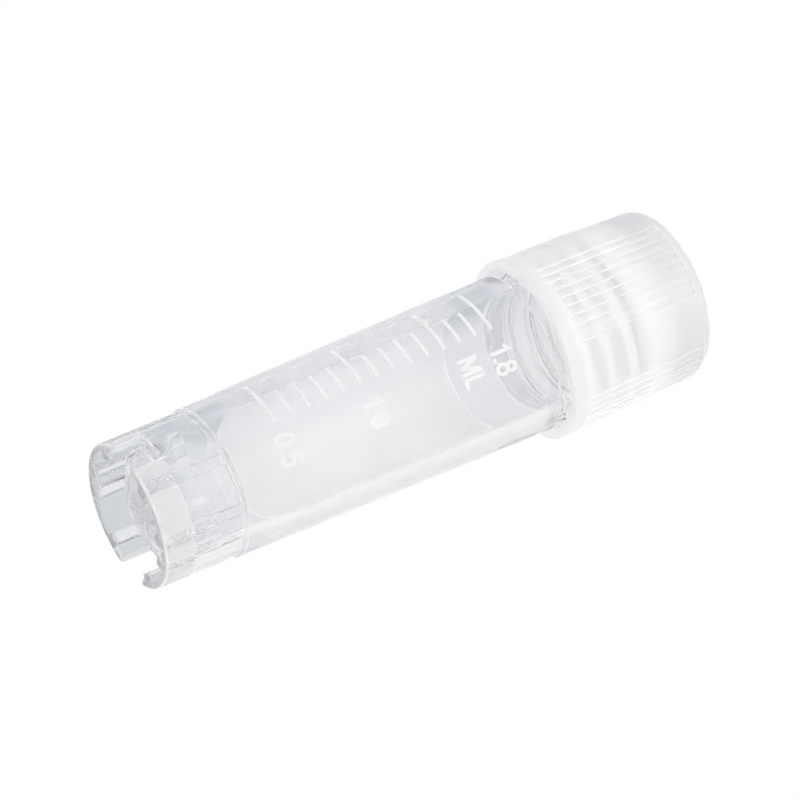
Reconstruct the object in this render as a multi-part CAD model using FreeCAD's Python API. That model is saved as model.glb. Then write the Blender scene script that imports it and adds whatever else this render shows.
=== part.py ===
import FreeCAD, Part
import math
import os

# Screw-cap cryogenic vial standing on its skirted foot. Millimetres, +Z up
# the vial's axis, origin at the centre of the foot's end. Angles are counted
# about the axis from the front (-Y) towards +X.

# tube: outside of the wall
foot_radius = 5.88
foot_height = 7.1
body_base_radius = 6.02
shoulder_radius = 6.41
shoulder_start = 34.5
shoulder_height = 35.0
shoulder_rounding = 0.4
neck_radius = 5.72
rim_height = 42.4
rim_rounding = 0.2

# tube: inside of the wall
bore_rim_radius = 4.92
bore_mid_radius = 4.54
bore_mid_height = 14.0
well_radius = 4.18
well_centre_height = 6.5

# tube: domed bottom outside, hidden inside the foot
dome_radius = 5.56
dome_centre_height = 6.24
gate_land_height = 0.82
gate_nub_radius = 0.55
gate_nub_drop = 0.12
dome_edge_radius = 3.95
dome_cone_start_radius = 4.34
dome_cone_start_height = 3.5
dome_cone_top_radius = 4.84
dome_cone_top_height = 6.9

# foot skirt: inside wall, notches and ribs
skirt_end_rounding = 0.28
pocket_end_radius = 5.34
pocket_top_radius = 5.28
pocket_height = 2.7
upper_skirt_radius = 5.06
gap_top_radius = 4.98
gap_top_height = 7.0
notch_angle = -46.5
notch_half_width = 1.55
notch_height = 2.7
notch_floor_rounding = 0.2
notch_mouth_rounding = 0.35
rib_offsets = (32.5, 78.0, 102.0, 147.5)
rib_crest_radius = 4.62
rib_root_radius = 5.5
rib_end_half_angle = 5.6
rib_top_half_angle = 4.2
rib_height = 7.05

# screw thread shared by the neck and the cap
thread_pitch = 1.95
ridge_depth = 0.42
ridge_root_width = 0.78
ridge_crest_width = 0.34
ridge_embed = 0.15
neck_thread_start = 36.35
neck_thread_turns = 2.4
cap_thread_turns = 2.2

# running clearances between cap and tube
thread_clearance = 0.14
mouth_clearance = 0.2

# cap
cap_mouth_height = 35.4
cap_top_height = 49.1
cap_wall_heights = (35.65, 37.2, 40.2, 42.9, 44.7, 46.1, 47.45)
cap_wall_radii = (7.34, 7.28, 7.225, 7.15, 7.03, 6.955, 6.93)
cap_mouth_rounding = 0.2
cap_top_rounding = 1.6
cap_mouth_radius = shoulder_radius + mouth_clearance
cap_mouth_depth = 0.55
cap_bore_radius = neck_radius + ridge_depth + thread_clearance
cap_roof_height = 43.7
recess_radius = 5.05
recess_floor_height = 45.2
recess_chamfer = 0.18

# grip flutes round the cap
flute_depth = 0.17
flute_bottom = 36.8
flute_top = 47.7
flute_pitch_angle = 6.4
flute_angle = 4.3
flutes_per_group = 9
flute_groups = 4
first_flute_angle = -44.8

# gasket under the cap's roof
gasket_radius = 6.12
gasket_hole_radius = 3.9
gasket_rounding = 0.15


def point(radius, height):
    return FreeCAD.Vector(radius, 0, height)


def line(start, end):
    return Part.makeLine(point(*start), point(*end))


def arc(start, middle, end):
    return Part.Arc(point(*start), point(*middle), point(*end)).toShape()


def corner(centre, radius, from_angle, to_angle):
    spots = []
    for angle in (from_angle, (from_angle + to_angle) / 2, to_angle):
        turn = math.radians(angle)
        spots.append((centre[0] + radius * math.cos(turn), centre[1] + radius * math.sin(turn)))
    return spots


def curve(spots):
    spline = Part.BSplineCurve()
    spline.interpolate([point(*spot) for spot in spots])
    return spline.toShape()


def revolve(edges):
    face = Part.Face(Part.Wire(edges))
    return face.revolve(FreeCAD.Vector(0, 0, 0), FreeCAD.Vector(0, 0, 1), 360)


def spun(shape, angle):
    turned = shape.copy()
    turned.rotate(FreeCAD.Vector(0, 0, 0), FreeCAD.Vector(0, 0, 1), angle)
    return turned


def plan_spot(radius, angle, height):
    turn = math.radians(angle)
    return FreeCAD.Vector(radius * math.sin(turn), -radius * math.cos(turn), height)


def thread_ridge(root_radius, crest_radius, start_height, turns):
    inward = 1 if crest_radius < root_radius else -1
    buried = root_radius + inward * ridge_embed
    spread = ridge_root_width / 2
    tip = ridge_crest_width / 2
    helix = Part.makeHelix(thread_pitch, thread_pitch * turns, root_radius)
    section = Part.makePolygon([
        point(buried, -spread),
        point(root_radius, -spread),
        point(crest_radius, -tip),
        point(crest_radius, tip),
        point(root_radius, spread),
        point(buried, spread),
        point(buried, -spread),
    ])
    ridge = Part.Wire(helix.Edges).makePipeShell([section], True, True)
    ridge.translate(FreeCAD.Vector(0, 0, start_height))
    return ridge


def build_tube_shell():
    end = corner((foot_radius - skirt_end_rounding, skirt_end_rounding), skirt_end_rounding, -90, 0)
    shoulder = corner(
        (shoulder_radius - shoulder_rounding, shoulder_height - shoulder_rounding), shoulder_rounding, 0, 90
    )
    rim = corner((neck_radius - rim_rounding, rim_height - rim_rounding), rim_rounding, 0, 90)
    edges = [
        line((0, 0), end[0]),
        arc(*end),
        line(end[2], (foot_radius, foot_height)),
        line((foot_radius, foot_height), (body_base_radius, foot_height)),
        line((body_base_radius, foot_height), shoulder[0]),
        arc(*shoulder),
        line(shoulder[2], (neck_radius, shoulder_height)),
        line((neck_radius, shoulder_height), rim[0]),
        arc(*rim),
        line(rim[2], (0, rim_height)),
        line((0, rim_height), (0, 0)),
    ]
    return revolve(edges)


def build_bore():
    well = corner((0, well_centre_height), well_radius, -90, 0)
    wall = Part.BSplineCurve()
    slope = (bore_rim_radius - bore_mid_radius) / (rim_height - bore_mid_height)
    wall.interpolate(
        [point(*well[2]), point(bore_mid_radius, bore_mid_height)],
        InitialTangent=point(0, 1),
        FinalTangent=point(slope, 1),
    )
    over = rim_height + 1
    edges = [
        arc(*well),
        wall.toShape(),
        line((bore_mid_radius, bore_mid_height), (bore_rim_radius, rim_height)),
        line((bore_rim_radius, rim_height), (bore_rim_radius, over)),
        line((bore_rim_radius, over), (0, over)),
        line((0, over), (0, well[0][1])),
    ]
    return revolve(edges)


def dome_height_at(radius):
    return dome_centre_height - math.sqrt(dome_radius ** 2 - radius ** 2)


def build_foot_hollow():
    land_radius = math.sqrt(dome_radius ** 2 - (dome_centre_height - gate_land_height) ** 2)
    middle_radius = (land_radius + dome_edge_radius) / 2
    edge = (dome_edge_radius, dome_height_at(dome_edge_radius))
    lean = dome_edge_radius / (dome_centre_height - edge[1])
    rise = (dome_cone_top_height - dome_cone_start_height) / (dome_cone_top_radius - dome_cone_start_radius)
    start = (dome_cone_start_radius, dome_cone_start_height)
    meet_radius = (start[1] - edge[1] + lean * edge[0] - rise * start[0]) / (lean - rise)
    meet = (meet_radius, edge[1] + lean * (meet_radius - edge[0]))
    blend = Part.BezierCurve()
    blend.setPoles([point(*edge), point(*meet), point(*start)])
    ceiling = ((dome_cone_top_radius + gap_top_radius) / 2, gap_top_height)
    edges = [
        line((0, gate_land_height), (land_radius, gate_land_height)),
        arc((land_radius, gate_land_height), (middle_radius, dome_height_at(middle_radius)), edge),
        blend.toShape(),
        line(start, (dome_cone_top_radius, dome_cone_top_height)),
        arc((dome_cone_top_radius, dome_cone_top_height), ceiling, (gap_top_radius, dome_cone_top_height)),
        line((gap_top_radius, dome_cone_top_height), (upper_skirt_radius, pocket_height)),
        line((upper_skirt_radius, pocket_height), (pocket_top_radius, pocket_height)),
        line((pocket_top_radius, pocket_height), (pocket_end_radius, 0)),
        line((pocket_end_radius, 0), (pocket_end_radius, -1)),
        line((pocket_end_radius, -1), (0, -1)),
        line((0, -1), (0, gate_land_height)),
    ]
    return revolve(edges)


def build_rib(angle):
    outlines = []
    for height, half_angle in ((0, rib_end_half_angle), (rib_height, rib_top_half_angle)):
        outlines.append(Part.makePolygon([
            plan_spot(rib_crest_radius, angle - half_angle, height),
            plan_spot(rib_root_radius, angle - half_angle, height),
            plan_spot(rib_root_radius, angle + half_angle, height),
            plan_spot(rib_crest_radius, angle + half_angle, height),
            plan_spot(rib_crest_radius, angle - half_angle, height),
        ]))
    return Part.makeLoft(outlines, True, True)


def build_notch(angle):
    wide = notch_half_width + notch_mouth_rounding
    floor = notch_floor_rounding
    mouth = notch_mouth_rounding
    spots = [(-wide, -1), (-wide, 0)]
    for turn in (90, 45, 0):
        lean = math.radians(turn)
        spots.append((-wide + mouth * math.cos(lean), mouth - mouth * math.sin(lean)))
    for turn in (180, 135, 90):
        lean = math.radians(turn)
        across = -notch_half_width + floor + floor * math.cos(lean)
        spots.append((across, notch_height - floor + floor * math.sin(lean)))
    left = [FreeCAD.Vector(x, 0, z) for x, z in spots]
    right = [FreeCAD.Vector(-x, 0, z) for x, z in reversed(spots)]
    edges = [
        Part.makeLine(left[0], left[2]),
        Part.Arc(left[2], left[3], left[4]).toShape(),
        Part.makeLine(left[4], left[5]),
        Part.Arc(left[5], left[6], left[7]).toShape(),
        Part.makeLine(left[7], right[0]),
        Part.Arc(right[0], right[1], right[2]).toShape(),
        Part.makeLine(right[2], right[3]),
        Part.Arc(right[3], right[4], right[5]).toShape(),
        Part.makeLine(right[5], right[7]),
        Part.makeLine(right[7], left[0]),
    ]
    cutter = Part.Face(Part.Wire(edges)).extrude(FreeCAD.Vector(0, -2.4, 0))
    cutter.translate(FreeCAD.Vector(0, -rib_crest_radius, 0))
    return spun(cutter, angle)


def build_tube():
    ribs = []
    for half_turn in (0, 180):
        for offset in rib_offsets:
            ribs.append(build_rib(notch_angle + offset + half_turn))
    hollow = build_foot_hollow().cut(Part.makeCompound(ribs))
    tube = build_tube_shell().cut([hollow, build_bore()])
    for half_turn in (0, 180):
        tube = tube.cut(build_notch(notch_angle + half_turn))
    nub = Part.makeCylinder(
        gate_nub_radius, 2 * gate_nub_drop, FreeCAD.Vector(0, 0, gate_land_height - gate_nub_drop)
    )
    ridge = thread_ridge(neck_radius, neck_radius + ridge_depth, neck_thread_start, neck_thread_turns)
    return tube.fuse([nub, ridge]).removeSplitter()


def cap_wall_spots(inset):
    return [(radius - inset, height) for radius, height in zip(cap_wall_radii, cap_wall_heights)]


def build_cap_body():
    spots = cap_wall_spots(0)
    mouth_centre = (cap_wall_radii[0] - cap_mouth_rounding, cap_mouth_height + cap_mouth_rounding)
    mouth = corner(mouth_centre, cap_mouth_rounding, -90, 0)
    brow = corner(
        (cap_wall_radii[-1] - cap_top_rounding, cap_top_height - cap_top_rounding), cap_top_rounding, 0, 90
    )
    bore_start = cap_mouth_height + cap_mouth_depth
    edges = [
        line((cap_mouth_radius, cap_mouth_height), mouth[0]),
        arc(*mouth),
        line(mouth[2], spots[0]),
        curve(spots),
        line(spots[-1], brow[0]),
        arc(*brow),
        line(brow[2], (recess_radius + recess_chamfer, cap_top_height)),
        line((recess_radius + recess_chamfer, cap_top_height), (recess_radius, cap_top_height - recess_chamfer)),
        line((recess_radius, cap_top_height - recess_chamfer), (recess_radius, recess_floor_height)),
        line((recess_radius, recess_floor_height), (0, recess_floor_height)),
        line((0, recess_floor_height), (0, cap_roof_height)),
        line((0, cap_roof_height), (cap_bore_radius, cap_roof_height)),
        line((cap_bore_radius, cap_roof_height), (cap_bore_radius, bore_start)),
        line((cap_bore_radius, bore_start), (cap_mouth_radius, cap_mouth_height)),
    ]
    return revolve(edges)


def build_flutes():
    spots = cap_wall_spots(flute_depth)
    reach = 9
    edges = [
        curve(spots),
        line(spots[-1], (spots[-1][0], flute_top)),
        line((spots[-1][0], flute_top), (reach, flute_top)),
        line((reach, flute_top), (reach, spots[0][1])),
        line((reach, spots[0][1]), spots[0]),
    ]
    ring = revolve(edges)
    wedges = []
    for group in range(flute_groups):
        for index in range(flutes_per_group):
            centre = first_flute_angle + group * 360 / flute_groups + index * flute_pitch_angle
            outline = Part.makePolygon([
                plan_spot(6, centre - flute_angle / 2, flute_bottom),
                plan_spot(8, centre - flute_angle / 2, flute_bottom),
                plan_spot(8, centre + flute_angle / 2, flute_bottom),
                plan_spot(6, centre + flute_angle / 2, flute_bottom),
                plan_spot(6, centre - flute_angle / 2, flute_bottom),
            ])
            wedges.append(Part.Face(outline).extrude(FreeCAD.Vector(0, 0, flute_top - flute_bottom)))
    return Part.makeCompound(wedges).common(ring)


def build_cap():
    cap = build_cap_body().cut(build_flutes())
    start = neck_thread_start + thread_pitch / 2
    ridge = thread_ridge(cap_bore_radius, cap_bore_radius - ridge_depth, start, cap_thread_turns)
    return cap.fuse(ridge).removeSplitter()


def build_gasket():
    washer = Part.makeCylinder(
        gasket_radius, cap_roof_height - rim_height, FreeCAD.Vector(0, 0, rim_height)
    )
    hole = Part.makeCylinder(gasket_hole_radius, 4, FreeCAD.Vector(0, 0, rim_height - 1))
    washer = washer.cut(hole)
    outer = [edge for edge in washer.Edges if edge.BoundBox.XLength > 2 * gasket_radius - 0.1]
    round_edges = [edge for edge in outer if edge.BoundBox.ZLength < 0.01]
    return washer.makeFillet(gasket_rounding, round_edges)


def export(shape, node):
    shape.exportStep(os.path.join("parts", node + ".step"))


os.makedirs("parts", exist_ok=True)
export(build_tube(), "vial_tube")
export(build_cap(), "screw_cap")
export(build_gasket(), "seal_gasket")
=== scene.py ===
"""Looks of the cryogenic vial: clear moulded tube with white print, milky screw cap, silicone washer.

Meshes, lamps and the camera are in metres. The materials work in millimetres, and so do the sizes of
the mouldings. Angles are in degrees about the vial's axis, counted from the front (-Y) towards +X.
"""

import math

import bmesh
import bpy
from mathutils import Matrix, Vector


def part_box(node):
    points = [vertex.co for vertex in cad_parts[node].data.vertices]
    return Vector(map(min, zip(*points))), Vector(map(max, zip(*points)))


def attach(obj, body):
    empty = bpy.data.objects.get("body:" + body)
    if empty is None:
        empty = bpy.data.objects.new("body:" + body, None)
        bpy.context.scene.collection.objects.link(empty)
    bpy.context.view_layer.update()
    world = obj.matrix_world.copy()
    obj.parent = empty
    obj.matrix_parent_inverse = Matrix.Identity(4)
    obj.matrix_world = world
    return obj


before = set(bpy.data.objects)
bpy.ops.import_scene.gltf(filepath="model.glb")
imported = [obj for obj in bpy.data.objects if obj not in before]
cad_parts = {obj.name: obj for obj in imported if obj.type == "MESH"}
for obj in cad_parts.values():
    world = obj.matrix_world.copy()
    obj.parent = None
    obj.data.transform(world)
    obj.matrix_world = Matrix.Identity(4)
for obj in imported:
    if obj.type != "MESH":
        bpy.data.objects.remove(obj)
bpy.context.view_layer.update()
MM = 0.001

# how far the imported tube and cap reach
tube_low, tube_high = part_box("vial_tube")
cap_low, cap_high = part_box("screw_cap")
tube_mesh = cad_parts["vial_tube"].data
RING_REACH = 0.02 * MM

# Print on the tube. It starts in the wall and stands a little proud of it, and the strokes of a sign
# end at slightly different depths. Marks and numerals have their heights in millimetres.
INK_SUNK = 0.03 * MM
INK_PROUD = 0.02 * MM
STROKE_STEP = 0.002 * MM
PATCH_BOTTOM = 10.5 * MM
PATCH_TOP = 31.0 * MM
PATCH_FROM = 100.0
PATCH_TO = 294.0
PATCH_CORNER = 1.6 * MM
PATCH_COLUMNS = 64
PATCH_ROWS = 12
CORNER_STEPS = 8
SCALE_MARKS = (
    (0.5, 11.83), (0.6, 13.32), (0.7, 14.85), (0.8, 16.37), (0.9, 17.9), (1.0, 19.45), (1.1, 20.92),
    (1.2, 22.39), (1.3, 23.86), (1.4, 25.33), (1.5, 26.8), (1.6, 28.2), (1.7, 29.6), (1.8, 31.0),
)
LONG_MARKS = (0.5, 1.0, 1.5, 1.8)
MARK_RIGHT = -23.0
SHORT_MARK_LEFT = -46.0
LONG_MARK_LEFT = -66.0
MARK_WIDTH = 0.28 * MM
MARK_COLUMNS = 16
NUMERALS = (("0.5", 11.75), ("1.0", 19.45), ("1.8", 30.75), ("ML", 27.95))
NUMERAL_HEIGHT = 1.78 * MM
STROKE = 0.29 * MM
LONGEST_QUAD = 0.12
MITRE_LIMIT = 0.5

# tube's moulding
BORE_RADIUS = 4.92
FOOT_RADIUS = 5.88
FOOT_HEIGHT = 7.1
WALL_TOP = 34.6
SHOULDER_HEIGHT = 35.0
NECK_RADIUS = 5.72
NECK_TINT_BOTTOM = 36.2
POCKET_HEIGHT = 2.7
NOTCH_ANGLE = -46.5
NOTCH_HALF_WIDTH = 1.55
RIB_ANGLES = [(NOTCH_ANGLE + offset) % 180.0 for offset in (32.5, 78.0, 102.0, 147.5)]
RIB_HALF_ANGLE = 5.6
RIB_NARROWING = -0.2
DOME_CENTRE = 6.24
DOME_RADIUS = 5.56
THREAD_PITCH = 1.95
RIDGE_HALF_WIDTH = 0.39
NECK_THREAD_START = 36.35
NECK_THREAD_BOTTOM = 35.7
NECK_THREAD_TOP = round(tube_high.z / MM, 3) - 0.4

# cap's moulding
FLUTE_MARGIN = 1.4
FLUTE_BOTTOM = round(cap_low.z / MM, 3) + FLUTE_MARGIN
FLUTE_TOP = round(cap_high.z / MM, 3) - FLUTE_MARGIN
FIRST_FLUTE = -44.8
FLUTE_PITCH = 6.4
FLUTE_HALF_ANGLE = 2.15
FLUTES_IN_GROUP = 9
GROUP_PITCH = 90.0
ROOF_HEIGHT = 43.7
CAP_BORE_RADIUS = 6.28
CAP_THREAD_START = 37.325

# Whiter places of the mouldings. Each has a share of haze, and the bands that it lies in. A band is
# what it measures, its low end, its high end and the blur outside them. None leaves an end open.
NECK_THREAD = ("z", NECK_THREAD_BOTTOM, NECK_THREAD_TOP, 0.2)
TUBE_WHITER = {
    "end face": (0.5, [("z", None, 0.04, 0.06)]),
    "end edge": (0.95, [("z", 0.08, 0.26, 0.05)]),
    "pocket top": (0.95, [("z", POCKET_HEIGHT - 0.08, POCKET_HEIGHT + 0.08, 0.06),
                          ("radius", None, FOOT_RADIUS - 0.38, 0.1)]),
    "notch sides": (0.95, [("beside notch", NOTCH_HALF_WIDTH - 0.05, NOTCH_HALF_WIDTH + 0.07, 0.08),
                           ("z", None, POCKET_HEIGHT + 0.15, 0.1)]),
    "rib sides": (0.95, [("rib side", None, 0.35, 0.4), ("radius", BORE_RADIUS + 0.08, None, 0.05),
                         ("radius", None, FOOT_RADIUS - 0.23, 0.1), ("z", None, FOOT_HEIGHT - 0.2, 0.2)]),
    "foot step": (0.35, [("z", FOOT_HEIGHT - 0.08, FOOT_HEIGHT + 0.06, 0.08),
                         ("radius", FOOT_RADIUS - 0.08, None, 0.1)]),
    "dome": (0.3, [("from dome centre", DOME_RADIUS - 0.26, DOME_RADIUS + 0.14, 0.1),
                   ("z", None, 4.6, 0.6), ("radius", None, 4.4, 0.2)]),
    "gate": (0.75, [("radius", 0.5, 0.85, 0.1), ("z", None, 1.1, 0.2)]),
    "shoulder": (0.35, [("z", SHOULDER_HEIGHT - 0.3, SHOULDER_HEIGHT + 0.15, 0.15),
                        ("radius", NECK_RADIUS + 0.08, None, 0.2)]),
    "thread crest": (0.95, [("radius", NECK_RADIUS + 0.11, NECK_RADIUS + 0.23, 0.03), NECK_THREAD]),
    "thread root": (0.95, [("coil", RIDGE_HALF_WIDTH, RIDGE_HALF_WIDTH + 0.14, 0.05),
                           ("radius", NECK_RADIUS - 0.06, NECK_RADIUS + 0.08, 0.03), NECK_THREAD]),
}

# other places of the mouldings, in bands of the same kind
# haze in the front pockets only: a painted highlight standing in for white reflections there
NEAR_POCKET_HIGHLIGHT = [("z", None, POCKET_HEIGHT - 0.1, 0.15), ("y", None, -2.0, 3.0),
                ("rib middle", RIB_HALF_ANGLE + 0.4, None, 0.8)]
CAP_SKIN = ("radius", CAP_BORE_RADIUS + 0.37, None, 0.15)
FLUTED = [("in group", None, FLUTES_IN_GROUP * FLUTE_PITCH - 0.1, 0.2),
          ("z", FLUTE_BOTTOM - 0.05, FLUTE_TOP + 0.05, 0.1), CAP_SKIN]
CAP_WHITER = {
    "flute sides": (0.97, [("flute middle", FLUTE_HALF_ANGLE - 0.3, FLUTE_HALF_ANGLE + 0.2, 0.2)] + FLUTED),
    "flute tops": (0.97, [("z", FLUTE_TOP - 0.08, FLUTE_TOP + 0.08, 0.05)] + FLUTED),
    "flute bottoms": (0.97, [("z", FLUTE_BOTTOM - 0.08, FLUTE_BOTTOM + 0.08, 0.05)] + FLUTED),
    "roof ring": (0.82, [("z", ROOF_HEIGHT - 0.7, ROOF_HEIGHT + 1.1, 0.9), CAP_SKIN]),
}
CAP_THREAD_WALL = [("z", 36.6, 42.3, 0.5), CAP_SKIN]
CAP_BORE = [("radius", 5.0, CAP_BORE_RADIUS + 0.06, 0.04), ("z", 37.4, 42.2, 0.4)]
CAP_GROOVES = CAP_BORE + [("radius", CAP_BORE_RADIUS - 0.06, None, 0.12)]
CAP_THREAD_CREST = {"thread crest": (0.95, CAP_BORE + [("radius", None, CAP_BORE_RADIUS - 0.18, 0.12)])}

# colours, in linear light
CLEAR = (0.994, 0.996, 0.998, 1)
# the greys of the outer skin's far half below are painted shade; the near foot's grey is its tint
FAR_WALL_SHADE = (0.56, 0.59, 0.615, 1)
FAR_NECK_SHADE = (0.8, 0.815, 0.83, 1)
NEAR_FOOT = (0.97, 0.975, 0.98, 1)
FAR_POCKETS_SHADE = (0.64, 0.67, 0.7, 1)
FAR_FOOT_SHADE = (0.75, 0.775, 0.8, 1)
MILK = (0.99, 0.991, 0.993, 1)
CAP_SIDE = (0.985, 0.987, 0.99, 1)
CAP_END = (0.74, 0.75, 0.76, 1)
CAP_END_MILK = (0.94, 0.944, 0.948, 1)
SILICONE_DARK = (0.92, 0.92, 0.91, 1)
SILICONE_LIGHT = (0.95, 0.95, 0.94, 1)
INK_DARK = (0.98, 0.982, 0.985, 1)
INK_LIGHT = (0.99, 0.99, 0.99, 1)
# greyer skin of the ink and of the patch where they face the air: painted shade
INK_SHADED_SKIN = (0.895, 0.898, 0.902, 1)
PATCH_SHADED_SKIN = (0.8, 0.82, 0.84, 1)
FLOOR_GREY = (0.74, 0.74, 0.74, 1)
STUDIO_WHITE = (1, 1, 1, 1)
STUDIO_COOL = (0.6, 0.635, 0.68, 1)
STUDIO_SOFT = (0.9, 0.9, 0.9, 1)

# Finishes: how rough a skin is, how much haze is in a plastic, how much of the light that falls on haze
# or ink goes through, and how strong and deep a grain is. Other pairs are the ends of a range.
TUBE_ROUGH = (0.045, 0.075)
CAP_ROUGH = (0.3, 0.38)
MILK_ROUGH = 0.4
SILICONE_ROUGH = 0.55
INK_ROUGH = 0.7
FLOOR_ROUGH = 0.8
TUBE_CLOUD = (0.03, 0.045)
CAP_CLOUD = (0.49, 0.56)
CAP_THREAD_CLOUD = (-0.18, 0.22)
# haze of the front pockets, inside and outside: a painted highlight
POCKET_HIGHLIGHT_HAZE = (0.65, 0.45)
GROOVE_CLEARING = 0.2
TUBE_THROUGH = 0.35
CAP_THROUGH = 0.3
INK_THROUGH = 0.12
PATCH_THROUGH = 0.7
SILICONE_GRAIN = (0.15, 0.02 * MM)
INK_GRAIN = (0.2, 0.01 * MM)
INK_SKIN_BLUR = 0.005
PLASTIC_IOR = 1.49
SILICONE_IOR = 1.41
INK_IOR = 1.45

# Stage. The floor fades between two distances in millimetres. The studio's lobes have the directions
# where they start and where they are full, and its shares are for light that comes straight from it
# and for light off a matt surface. A lamp has its place and its watts.
FLOOR_SIDE = 3
FLOOR_GAP = 0.02 * MM
FLOOR_FADES_FROM = 120.0
FLOOR_GONE_FROM = 420.0
LOBES_FROM_Z = (0.12, 0.3)
COOL_TO_Z = (0.75, 0.55)
COOL_FROM_X = (-0.1, -0.45)
SOFT_FROM_X = (0.25, 0.6)
COOL_SHARE = (1.0, 0.5)
STUDIO_STRENGTH = (1.0, 1.05)
LAMPS = (("key", (0.12, -0.5, 0.55), 1.0), ("back", (0.1, 0.5, 0.6), 1.8))
LAMP_SIDE = 0.5
MIDDLE = Vector((0, 0, 24 * MM))
LENS = 242.5
CAMERA_DISTANCE = 412.8 * MM
CAMERA_BELOW = 23.2
CAMERA_ROLL = 67.2995
AIM_RIGHT = 0.1456 * MM
AIM_UP = 0.268 * MM


def ring_radius(height):
    """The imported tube's outer radius, where a ring of its vertices lies at a height."""
    ring = [v.co for v in tube_mesh.vertices if abs(v.co.z - height) < RING_REACH]
    return max(math.hypot(spot.x, spot.y) for spot in ring)


# the straight wall's taper, between the foot's step and the shoulder
wall_low = ring_radius(FOOT_HEIGHT * MM)
wall_high = ring_radius(WALL_TOP * MM)
WALL_SLOPE = (wall_high - wall_low) / ((WALL_TOP - FOOT_HEIGHT) * MM)


def wall_radius(height):
    """Outer radius of the straight wall."""
    return wall_low + WALL_SLOPE * (height - FOOT_HEIGHT * MM)


def on_wall(angle, height, lift):
    """A point at a height above the foot's end and a distance off the wall."""
    turn = math.radians(angle)
    radius = wall_radius(height) + lift
    return Vector((radius * math.sin(turn), -radius * math.cos(turn), height))


def add_piece(name, mesh, body, material):
    """A piece of the scene that moves with a body."""
    piece = bpy.data.objects.new(name, mesh)
    bpy.context.scene.collection.objects.link(piece)
    piece.data.materials.clear()
    piece.data.materials.append(material)
    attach(piece, body)
    return piece


def wrapped_solid(name, outline, faces, step=0.0):
    """A thin closed print: flat points (angle, height) and faces, wrapped on the wall at two depths."""
    made = bmesh.new()
    layers = []
    for lift in (INK_PROUD - step, step - INK_SUNK):
        layers.append([made.verts.new(on_wall(a, z, lift)) for a, z in outline])
    for face in faces:
        made.faces.new([layers[0][i] for i in face])
        made.faces.new([layers[1][i] for i in reversed(face)])
    # an edge that two faces share lies inside the outline, so only the others get a side
    rims = {}
    for face in faces:
        for a, b in zip(face, face[1:] + face[:1]):
            if (b, a) in rims:
                del rims[(b, a)]
            else:
                rims[(a, b)] = True
    for a, b in rims:
        made.faces.new([layers[0][b], layers[0][a], layers[1][a], layers[1][b]])
    bmesh.ops.recalc_face_normals(made, faces=made.faces)
    mesh = bpy.data.meshes.new(name)
    made.to_mesh(mesh)
    made.free()
    return mesh


def row_heights(low, high, corner, rows):
    """Heights of a band's rows, which lie closer together round its corners."""
    straight = high - low - 2 * corner
    if not corner:
        return [low + straight * i / rows for i in range(rows + 1)]
    turns = [math.pi / 2 * i / CORNER_STEPS for i in range(CORNER_STEPS + 1)]
    steps = [corner * (1 - math.cos(turn)) for turn in turns]
    middle = [low + corner + straight * i / rows for i in range(1, rows)]
    return [low + s for s in steps] + middle + [high - s for s in reversed(steps)]


def band_mesh(name, left, right, low, high, corner, columns, rows):
    """A rounded rectangle on the wall, as a grid whose corner rows are drawn in."""
    middle = wall_radius((low + high) / 2)
    heights = row_heights(low, high, corner, rows)
    points, faces = [], []
    for height in heights:
        edge = min(height - low, high - height)
        draw_in = 0.0
        if corner and edge < corner:
            draw_in = corner - math.sqrt(max(corner ** 2 - (corner - edge) ** 2, 0))
        inset = math.degrees(draw_in / middle)
        for i in range(columns + 1):
            points.append((left + inset + (right - left - 2 * inset) * i / columns, height))
    wide = columns + 1
    for row in range(len(heights) - 1):
        for i in range(columns):
            start = row * wide + i
            faces.append([start, start + 1, start + wide + 1, start + wide])
    return wrapped_solid(name, points, faces)


def bow(centre, across, up, start, end, steps=20):
    """Points of an arc of an ellipse, in the flat space of a glyph."""
    turns = [math.radians(start + (end - start) * i / steps) for i in range(steps + 1)]
    return [(centre[0] + across * math.cos(t), centre[1] + up * math.sin(t)) for t in turns]


# each sign's width and strokes, for a height of 1
GLYPHS = {
    "0": (0.62, [bow((0.31, 0.5), 0.22, 0.42, 0, 360)]),
    "1": (0.5, [[(0.08, 0.74), (0.32, 0.92), (0.32, 0.0)]]),
    "5": (0.62, [[(0.54, 0.92), (0.17, 0.92), (0.13, 0.5)] + bow((0.3, 0.34), 0.22, 0.26, 130, -140)]),
    "8": (0.62, [bow((0.31, 0.73), 0.18, 0.19, 0, 360), bow((0.31, 0.29), 0.22, 0.23, 0, 360)]),
    ".": (0.26, [[(0.13, 0.0), (0.13, 0.15)]]),
    "M": (0.84, [[(0.1, 0.0), (0.1, 1.0)], [(0.15, 0.93), (0.4, 0.12), (0.65, 0.93)],
                 [(0.7, 1.0), (0.7, 0.0)]]),
    "L": (0.56, [[(0.1, 1.0), (0.1, 0.07), (0.5, 0.07)]]),
}


def stroke_outline(path, width):
    """Points and quads of a line of even width with mitred bends, cut short enough to follow the wall."""
    fine = [Vector(path[0])]
    for end in path[1:]:
        start, run = fine[-1], Vector(end) - fine[-1]
        pieces = max(1, math.ceil(run.length / LONGEST_QUAD))
        fine += [start + run * (i + 1) / pieces for i in range(pieces)]
    points, faces = [], []
    closed = (fine[0] - fine[-1]).length < 1e-6
    for i, spot in enumerate(fine):
        before = fine[i - 1] if i else (fine[-2] if closed else None)
        after = fine[i + 1] if i < len(fine) - 1 else (fine[1] if closed else None)
        first = (spot - before).normalized() if before is not None else (after - spot).normalized()
        last = (after - spot).normalized() if after is not None else first
        normal = Vector((-first.y - last.y, first.x + last.x)).normalized()
        reach = width / 2 / max(MITRE_LIMIT, normal.dot(Vector((-first.y, first.x))))
        points += [spot + normal * reach, spot - normal * reach]
    for i in range(len(fine) - 1):
        faces.append([2 * i, 2 * i + 1, 2 * i + 3, 2 * i + 2])
    return points, faces


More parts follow.
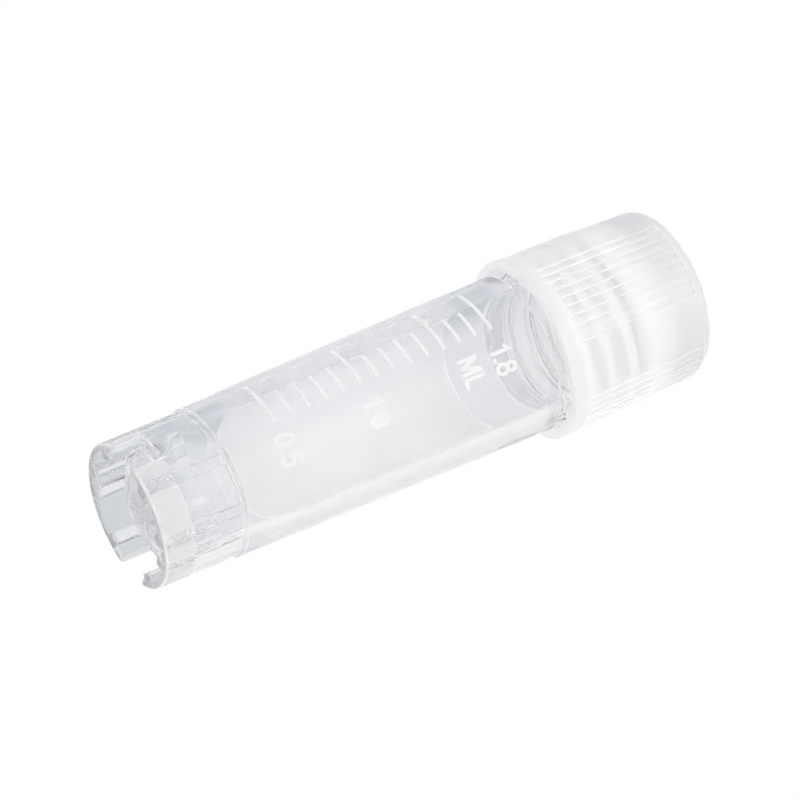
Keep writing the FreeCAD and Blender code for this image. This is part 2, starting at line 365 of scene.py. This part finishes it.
def add_words(words, height, material):
    """Signs on the wall, read with the cap up and centred on the front. Each stroke is a piece."""
    start = -sum(GLYPHS[sign][0] for sign in words) / 2
    for place, sign in enumerate(words):
        width, strokes = GLYPHS[sign]
        for turn, path in enumerate(strokes):
            points, faces = stroke_outline(path, STROKE / NUMERAL_HEIGHT)
            outline = []
            for spot in points:
                across = math.degrees((start + spot[0]) * NUMERAL_HEIGHT / wall_radius(height))
                outline.append((across, height + (spot[1] - 0.5) * NUMERAL_HEIGHT))
            name = "print_%s_%d_%d" % (words.replace(".", "_"), place, turn)
            mesh = wrapped_solid(name, outline, faces, turn * STROKE_STEP)
            add_piece(name, mesh, "tube", material)
        start += width


class Nodes:
    """A small writer for a tree of nodes. Its masks are 1 inside a place and 0 outside it."""

    def __init__(self, tree, output):
        self.tree = tree
        self.tree.nodes.clear()
        self.out = self.add(output)

    def add(self, kind, inputs=(), **settings):
        """A node whose inputs are values or the outputs of other nodes."""
        node = self.tree.nodes.new(kind)
        for key, value in settings.items():
            setattr(node, key, value)
        for key, value in dict(inputs).items():
            if isinstance(value, bpy.types.NodeSocket):
                self.tree.links.new(value, node.inputs[key])
            else:
                node.inputs[key].default_value = value
        return node

    def show(self, surface):
        """Makes a shader the tree's surface."""
        self.tree.links.new(surface, self.out.inputs["Surface"])

    def math(self, operation, *values):
        return self.add("ShaderNodeMath", dict(enumerate(values)), operation=operation).outputs[0]

    def fold(self, operation, first, *others):
        """One operation over several values."""
        for other in others:
            first = self.math(operation, first, other)
        return first

    def product(self, *values):
        return self.fold("MULTIPLY", *values)

    def largest(self, *values):
        return self.fold("MAXIMUM", *values)

    def smallest(self, *values):
        return self.fold("MINIMUM", *values)

    def apart(self, first, second):
        """How far two values lie from each other."""
        return self.math("ABSOLUTE", self.math("SUBTRACT", first, second))

    def length(self, first, second):
        """Length of the way that has these two values at right angles."""
        return self.math("SQRT", self.math("ADD", self.product(first, first), self.product(second, second)))

    def wrap(self, value, low, high):
        return self.math("WRAP", value, high, low)

    def ramp(self, value, start, end, low=0.0, high=1.0):
        """A smooth step from low at start to high at end, which may lie below start."""
        inputs = {"Value": value, "From Min": start, "From Max": end, "To Min": low, "To Max": high}
        return self.add("ShaderNodeMapRange", inputs, interpolation_type="SMOOTHSTEP").outputs["Result"]

    def band(self, value, low, high, blur):
        """A mask from low to high, with a soft step outside each end that isn't left open."""
        steps = []
        if low is not None:
            steps.append(self.ramp(value, low - blur, low))
        if high is not None:
            steps.append(self.ramp(value, high + blur, high))
        return self.product(*steps)

    def blend(self, factor, first, second):
        return self.add("ShaderNodeMix", {0: factor, 6: first, 7: second}, data_type="RGBA").outputs[2]


class Look(Nodes):
    """A material's nodes, which find where a point of the surface is, in millimetres and degrees."""

    def __init__(self, name):
        self.material = bpy.data.materials.new(name)
        self.material.use_nodes = True
        super().__init__(self.material.node_tree, "ShaderNodeOutputMaterial")
        spot = self.add("ShaderNodeTexCoord").outputs["Object"]
        spot = self.add("ShaderNodeVectorMath", {0: spot, "Scale": 1 / MM}, operation="SCALE").outputs[0]
        x, y, z = self.add("ShaderNodeSeparateXYZ", {0: spot}).outputs
        angle = self.math("DEGREES", self.math("ARCTAN2", x, self.product(y, -1.0)))
        self.spot = spot
        self.places = {"x": x, "y": y, "z": z, "radius": self.length(x, y), "angle": angle}

    def coil(self, start):
        """How far a point lies along the axis from the middle of a thread's ridge, which starts at +X."""
        offset = THREAD_PITCH / 4 + THREAD_PITCH / 2 - start
        phase = self.math("MULTIPLY_ADD", self.places["angle"], -THREAD_PITCH / 360, offset)
        phase = self.wrap(self.math("ADD", self.places["z"], phase), 0.0, THREAD_PITCH)
        return self.apart(phase, THREAD_PITCH / 2)

    def bounded(self, bands):
        """A mask of the place that all of the bands share."""
        masks = [self.band(self.places[name], low, high, blur) for name, low, high, blur in bands]
        return self.product(*masks)

    def whiten(self, haze, whiter):
        """Haze, with at least the share that each whiter place asks for."""
        for share, bands in whiter.values():
            haze = self.largest(haze, self.product(self.bounded(bands), share))
        return haze

    def noise(self, scale, detail=3.0):
        inputs = {"Vector": self.spot, "Scale": scale, "Detail": detail}
        return self.add("ShaderNodeTexNoise", inputs).outputs["Fac"]

    def bump(self, strength, distance, height):
        inputs = {"Strength": strength, "Distance": distance, "Height": height}
        return self.add("ShaderNodeBump", inputs).outputs["Normal"]

    def principled(self, colour, rough, others=()):
        inputs = {"Base Color": colour, "Roughness": rough, **dict(others)}
        return self.add("ShaderNodeBsdfPrincipled", inputs).outputs[0]

    def translucent(self, colour):
        return self.add("ShaderNodeBsdfTranslucent", {"Color": colour}).outputs[0]

    def mix(self, factor, first, second):
        return self.add("ShaderNodeMixShader", {0: factor, 1: first, 2: second}).outputs[0]

    def plastic(self, tint, rough, haze, through, milk):
        """Clear plastic with a share of white haze, which scatters light back and, in part, through."""
        clear = self.principled(tint, rough, {"IOR": PLASTIC_IOR, "Transmission Weight": 1.0})
        body = self.principled(milk, MILK_ROUGH, {"IOR": PLASTIC_IOR})
        self.show(self.mix(haze, clear, self.mix(through, body, self.translucent(milk))))
        return self.material


def add_rib_places(n):
    """Degrees from the nearest rib's middle, and from the nearer of its sides."""
    turn = n.wrap(n.places["angle"], 0.0, 180.0)
    half = n.math("MULTIPLY_ADD", n.places["z"], RIB_NARROWING, RIB_HALF_ANGLE)
    offsets = [n.wrap(n.math("SUBTRACT", turn, centre), -90.0, 90.0) for centre in RIB_ANGLES]
    n.places["rib middle"] = n.smallest(*[n.math("ABSOLUTE", offset) for offset in offsets])
    n.places["rib side"] = n.apart(n.places["rib middle"], half)


def add_notch_place(n):
    """Millimetres from the plane through the middles of the notches."""
    notch = math.radians(NOTCH_ANGLE)
    along_x = n.product(n.places["x"], math.cos(notch))
    along_y = n.product(n.places["y"], math.sin(notch))
    n.places["beside notch"] = n.math("ABSOLUTE", n.math("ADD", along_x, along_y))


def tube_tint_and_shade(n):
    """Clear on the bore's skin. The outer skin is greyer round the foot and, bare of print, behind; the
    grey of the far half is painted shade.
    """
    z = n.places["z"]
    behind = n.ramp(n.places["y"], -1.5, 1.5)
    round_patch = n.band(n.wrap(n.places["angle"], 0.0, 360.0), PATCH_FROM, PATCH_TO, 1.0)
    covered = n.product(round_patch, n.band(z, PATCH_BOTTOM / MM, PATCH_TOP / MM, 0.15))
    bare = n.math("SUBTRACT", behind, n.product(behind, covered))
    # painted shade: the far half's outer skin is greyer than the near half's
    far_wall_shade = n.blend(n.ramp(z, NECK_TINT_BOTTOM, NECK_TINT_BOTTOM + 0.8), FAR_WALL_SHADE, FAR_NECK_SHADE)
    far_foot_shade = n.blend(n.ramp(z, POCKET_HEIGHT, POCKET_HEIGHT + 0.4), FAR_POCKETS_SHADE, FAR_FOOT_SHADE)
    wall = n.blend(bare, CLEAR, far_wall_shade)
    foot = n.blend(behind, NEAR_FOOT, far_foot_shade)
    outer = n.blend(n.ramp(z, FOOT_HEIGHT + 0.5, FOOT_HEIGHT - 0.3), wall, foot)
    return n.blend(n.ramp(n.places["radius"], BORE_RADIUS + 0.01, BORE_RADIUS + 0.08), CLEAR, outer)


def tube_material():
    """Clear plastic with a faint cloud in it, and white along its moulded edges and its thread. Its front
    pockets are hazier, as a painted highlight.
    """
    n = Look("clear_polypropylene")
    add_rib_places(n)
    add_notch_place(n)
    n.places["coil"] = n.coil(NECK_THREAD_START)
    drop = n.math("SUBTRACT", n.places["z"], DOME_CENTRE)
    n.places["from dome centre"] = n.length(n.places["radius"], drop)
    rough = n.ramp(n.noise(0.9), 0.0, 1.0, *TUBE_ROUGH)
    cloud = n.ramp(n.noise(0.35), 0.3, 0.7, *TUBE_CLOUD)
    # painted highlight: haze in the front pockets only
    pocket = n.ramp(n.places["radius"], FOOT_RADIUS - 0.38, FOOT_RADIUS - 0.28, *POCKET_HIGHLIGHT_HAZE)
    haze = n.largest(cloud, n.product(n.bounded(NEAR_POCKET_HIGHLIGHT), pocket))
    return n.plastic(tube_tint_and_shade(n), rough, n.whiten(haze, TUBE_WHITER), TUBE_THROUGH, MILK)


def cap_material():
    """Milky, greyer towards its closed end, and whiter along its flutes, its roof and its threads."""
    n = Look("translucent_polypropylene")
    turn = n.math("SUBTRACT", n.places["angle"], FIRST_FLUTE - FLUTE_PITCH / 2)
    n.places["in group"] = n.wrap(turn, 0.0, GROUP_PITCH)
    n.places["flute middle"] = n.apart(n.wrap(n.places["in group"], 0.0, FLUTE_PITCH), FLUTE_PITCH / 2)
    rough = n.ramp(n.noise(1.5, 4.0), 0.2, 0.8, *CAP_ROUGH)
    end = n.ramp(n.places["z"], ROOF_HEIGHT + 0.2, ROOF_HEIGHT + 2.5)
    tint = n.blend(end, CAP_SIDE, CAP_END)
    milk = n.blend(end, MILK, CAP_END_MILK)
    # the wall is milkier where its own thread makes it thicker, and clearer between
    cloud = n.ramp(n.noise(0.4), 0.3, 0.7, *CAP_CLOUD)
    groove = THREAD_PITCH / 2
    thick = n.ramp(n.coil(CAP_THREAD_START), groove - 0.35, groove - 0.75, *CAP_THREAD_CLOUD)
    haze = n.math("ADD", cloud, n.product(thick, n.bounded(CAP_THREAD_WALL)))
    haze = n.whiten(haze, CAP_WHITER)
    # inside, the grooves are clearer and the thread is white
    haze = n.math("SUBTRACT", haze, n.product(n.bounded(CAP_GROOVES), GROOVE_CLEARING))
    haze = n.whiten(haze, CAP_THREAD_CREST)
    return n.plastic(tint, rough, haze, CAP_THROUGH, milk)


def gasket_material():
    """White rubber with a soft grain."""
    n = Look("silicone")
    shade = n.blend(n.noise(0.3), SILICONE_DARK, SILICONE_LIGHT)
    grain = n.bump(*SILICONE_GRAIN, n.noise(2.5))
    n.show(n.principled(shade, SILICONE_ROUGH, {"IOR": SILICONE_IOR, "Normal": grain}))
    return n.material


def ink_material(name, through, outside):
    """White ink. Its skin in the air may be painted greyer than its face against the plastic, as painted
    shade.
    """
    n = Look(name)
    shade = n.blend(n.noise(0.6), INK_DARK, INK_LIGHT)
    wall = n.math("MULTIPLY_ADD", n.places["z"], WALL_SLOPE, wall_radius(0) / MM)
    off_wall = n.math("SUBTRACT", n.places["radius"], wall)
    skin = n.ramp(off_wall, -INK_SKIN_BLUR, INK_SKIN_BLUR)
    grain = n.bump(*INK_GRAIN, n.noise(3.0, 4.0))
    # the skin in the air takes the greyer colour, which is painted shade
    paint = n.principled(n.blend(skin, shade, outside), INK_ROUGH, {"IOR": INK_IOR, "Normal": grain})
    n.show(n.mix(through, paint, n.translucent(shade)))
    return n.material


def assign(node, material):
    """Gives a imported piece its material."""
    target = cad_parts[node]
    for slot in target.material_slots:
        slot.material = material
    if not target.material_slots:
        target.data.materials.append(material)


def add_print():
    """The writing patch behind and the volume scale in front."""
    ink = ink_material("white_ink", INK_THROUGH, INK_SHADED_SKIN)
    patch_ink = ink_material("white_patch_ink", PATCH_THROUGH, PATCH_SHADED_SKIN)
    sides = (PATCH_FROM, PATCH_TO, PATCH_BOTTOM, PATCH_TOP)
    patch = band_mesh("writing_patch", *sides, PATCH_CORNER, PATCH_COLUMNS, PATCH_ROWS)
    add_piece("writing_patch", patch, "tube", patch_ink)
    for value, height in SCALE_MARKS:
        name = "mark_%02d" % round(value * 10)
        left = LONG_MARK_LEFT if value in LONG_MARKS else SHORT_MARK_LEFT
        low = height * MM - MARK_WIDTH / 2
        mark = band_mesh(name, left, MARK_RIGHT, low, low + MARK_WIDTH, 0, MARK_COLUMNS, 1)
        add_piece(name, mark, "tube", ink)
    for words, height in NUMERALS:
        add_words(words, height * MM, ink)


def build_floor():
    """Pale floor that fades out a little way off. It is seen from above only, so that a view from under
    the foot looks past it."""
    bpy.ops.mesh.primitive_plane_add(size=FLOOR_SIDE, location=(0, 0, tube_low.z - FLOOR_GAP))
    floor = bpy.context.object
    floor.name = "floor"
    n = Look("floor")
    pale = n.principled(FLOOR_GREY, FLOOR_ROUGH)
    under = n.add("ShaderNodeNewGeometry").outputs["Backfacing"]
    gone = n.largest(under, n.ramp(n.places["radius"], FLOOR_FADES_FROM, FLOOR_GONE_FROM))
    n.show(n.mix(gone, pale, n.add("ShaderNodeBsdfTransparent").outputs[0]))
    floor.data.materials.append(n.material)


def build_world():
    """White studio with a cool grey lobe high on the -X side, which the clear walls pick up, and a paler
    one on the +X side. Matt surfaces get a little more light from it, and half of the cool grey."""
    world = bpy.data.worlds.new("studio")
    bpy.context.scene.world = world
    world.use_nodes = True
    n = Nodes(world.node_tree, "ShaderNodeOutputWorld")
    way = n.add("ShaderNodeTexCoord").outputs["Generated"]
    x, _, z = n.add("ShaderNodeSeparateXYZ", {0: way}).outputs
    bounces = n.add("ShaderNodeLightPath").outputs["Diffuse Depth"]
    above = n.ramp(z, *LOBES_FROM_Z)
    share = n.ramp(bounces, 0.0, 1.0, *COOL_SHARE)
    cool = n.product(n.ramp(x, *COOL_FROM_X), above, n.ramp(z, *COOL_TO_Z), share)
    soft = n.product(n.ramp(x, *SOFT_FROM_X), above)
    colour = n.blend(soft, n.blend(cool, STUDIO_WHITE, STUDIO_COOL), STUDIO_SOFT)
    strength = n.ramp(bounces, 0.0, 1.0, *STUDIO_STRENGTH)
    n.show(n.add("ShaderNodeBackground", {"Color": colour, "Strength": strength}).outputs[0])


def add_lamp(name, place, power):
    """A square lamp that lights the vial's middle, and isn't seen through the clear plastic."""
    data = bpy.data.lights.new(name, "AREA")
    data.shape = "RECTANGLE"
    data.size = data.size_y = LAMP_SIDE
    data.energy = power
    lamp = bpy.data.objects.new(name, data)
    bpy.context.scene.collection.objects.link(lamp)
    lamp.visible_transmission = False
    lamp.location = place
    lamp.rotation_mode = "QUATERNION"
    lamp.rotation_quaternion = (MIDDLE - Vector(place)).to_track_quat("-Z", "Y")


def build_camera():
    """Below the foot and turned about its line of sight, so that the upright vial lies across the frame."""
    data = bpy.data.cameras.new("camera")
    data.sensor_width = 36
    data.lens = LENS
    data.clip_start = 0.01
    data.clip_end = 10
    camera = bpy.data.objects.new("camera", data)
    bpy.context.scene.collection.objects.link(camera)
    below = math.radians(CAMERA_BELOW)
    roll = math.radians(CAMERA_ROLL)
    back = Vector((0, -math.cos(below), -math.sin(below)))
    up_axis = Vector((0, -math.sin(below), math.cos(below)))
    side = Vector((1, 0, 0))
    right = math.sin(roll) * up_axis + math.cos(roll) * side
    up = math.cos(roll) * up_axis - math.sin(roll) * side
    turn = Matrix((right, up, back)).transposed().to_4x4()
    aim = MIDDLE + AIM_RIGHT * right + AIM_UP * up
    camera.matrix_world = Matrix.Translation(aim + CAMERA_DISTANCE * back) @ turn
    bpy.context.scene.camera = camera


def set_rendering():
    """Enough bounces for light to pass through the walls of the tube and the cap."""
    cycles = bpy.context.scene.cycles
    cycles.max_bounces = 32
    cycles.transmission_bounces = 32
    cycles.glossy_bounces = 24
    cycles.diffuse_bounces = 12
    cycles.blur_glossy = 0
    bpy.context.scene.view_settings.view_transform = "Standard"


assign("vial_tube", tube_material())
assign("screw_cap", cap_material())
assign("seal_gasket", gasket_material())
add_print()
build_floor()
build_world()
for name, place, power in LAMPS:
    add_lamp(name, place, power)
build_camera()
set_rendering()
